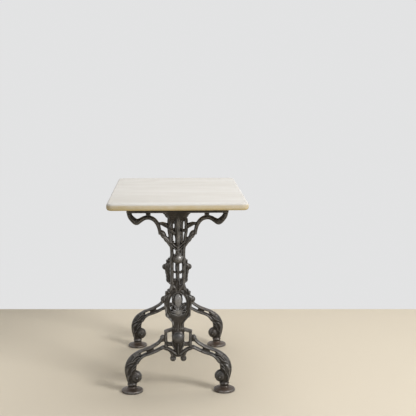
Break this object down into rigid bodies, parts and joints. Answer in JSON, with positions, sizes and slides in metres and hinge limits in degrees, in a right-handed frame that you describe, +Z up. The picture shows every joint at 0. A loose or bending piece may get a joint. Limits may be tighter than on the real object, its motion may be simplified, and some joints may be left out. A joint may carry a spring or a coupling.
{
  "type": "bistro table",
  "caption": "Rectangular marble-topped bistro table on pierced cast-iron end frames with scroll legs and disc feet, tied by a low stretcher bar.",
  "frame": {"origin": "on the floor under the middle of the slab", "axes": "+Z up, +Y along the slab's long side, +X across it, in the plane of an end frame"},
  "size_m": [0.5, 0.8, 0.72],
  "materials": {
    "cast_iron": "aged, oiled dark brown-grey with a soft sheen",
    "iron_hardware": "the same dark brown-grey, worn on the edges",
    "marble": "polished off-white, with a tan edge",
    "felt": "grey-brown pressed felt"
  },
  "bodies": {
    "root": {"marble_top": "marble", "front_end_frame": "cast_iron", "back_end_frame": "cast_iron", "stretcher_bar": "iron_hardware", "front_stretcher_washer": "iron_hardware", "back_stretcher_washer": "iron_hardware", "front_cap_nut": "iron_hardware", "back_cap_nut": "iron_hardware", "left_top_rail": "iron_hardware", "right_top_rail": "iron_hardware", "rail_screw_front_left": "iron_hardware", "rail_screw_front_right": "iron_hardware", "rail_screw_back_left": "iron_hardware", "rail_screw_back_right": "iron_hardware", "top_pad_front_left": "felt", "top_pad_front_right": "felt", "top_pad_back_left": "felt", "top_pad_back_right": "felt"}
  },
  "joints": []
}
